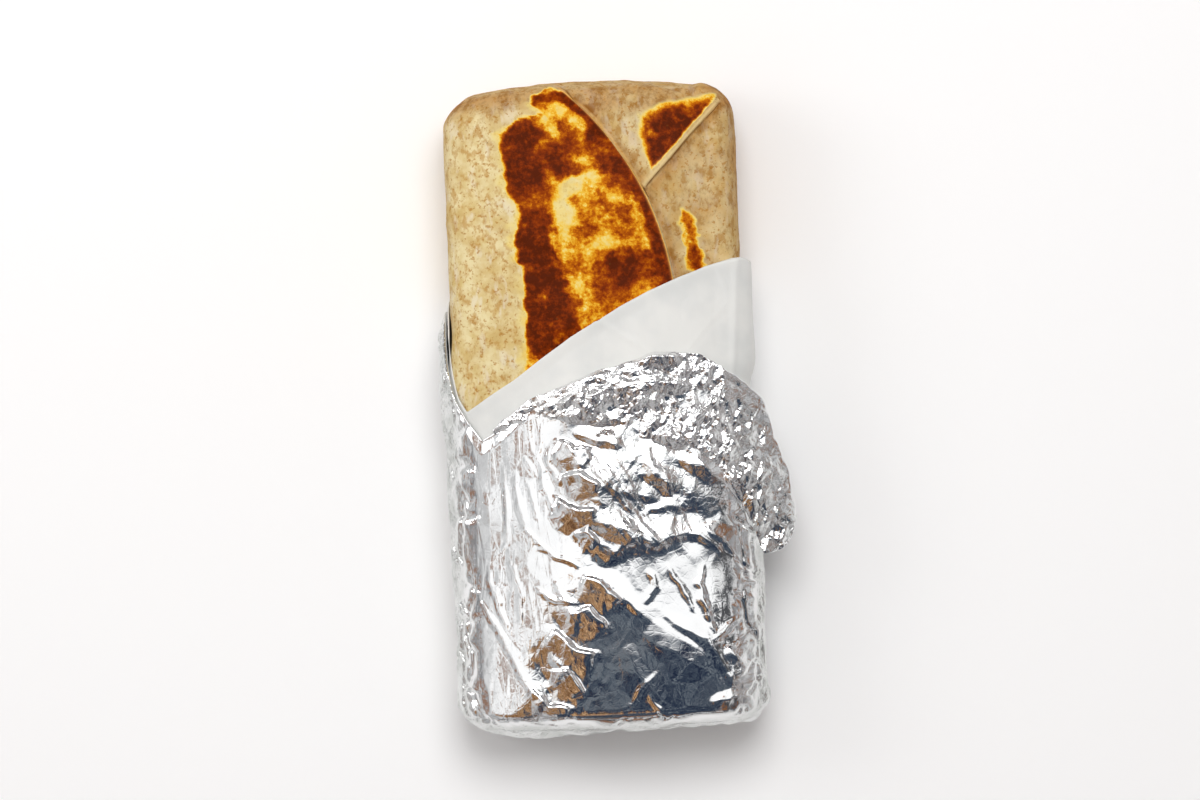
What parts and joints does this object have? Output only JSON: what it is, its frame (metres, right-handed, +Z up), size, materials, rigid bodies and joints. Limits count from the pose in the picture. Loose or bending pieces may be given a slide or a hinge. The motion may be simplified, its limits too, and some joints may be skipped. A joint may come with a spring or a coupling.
{
  "type": "burrito",
  "caption": "Griddled flour-tortilla burrito, pressed flat and lying on its back, bare at one end, the other end in a white paper liner and crumpled foil that is folded down as a collar.",
  "frame": {"origin": "centre of the underside of the whole object's box, on the surface it lies on", "axes": "+Y along the burrito to its bare end, +Z up through the side that shows, +X to the right seen from above"},
  "size_m": [0.1088, 0.201, 0.0483],
  "materials": {
    "tortilla": "dry griddled flour tortilla, cream with tan mottling and dark brown toast",
    "paper": "thin matt food paper",
    "foil": "bright crumpled kitchen foil"
  },
  "bodies": {
    "root": {"burrito": "tortilla", "paper_liner": "paper", "foil_wrap": "foil"}
  },
  "joints": []
}
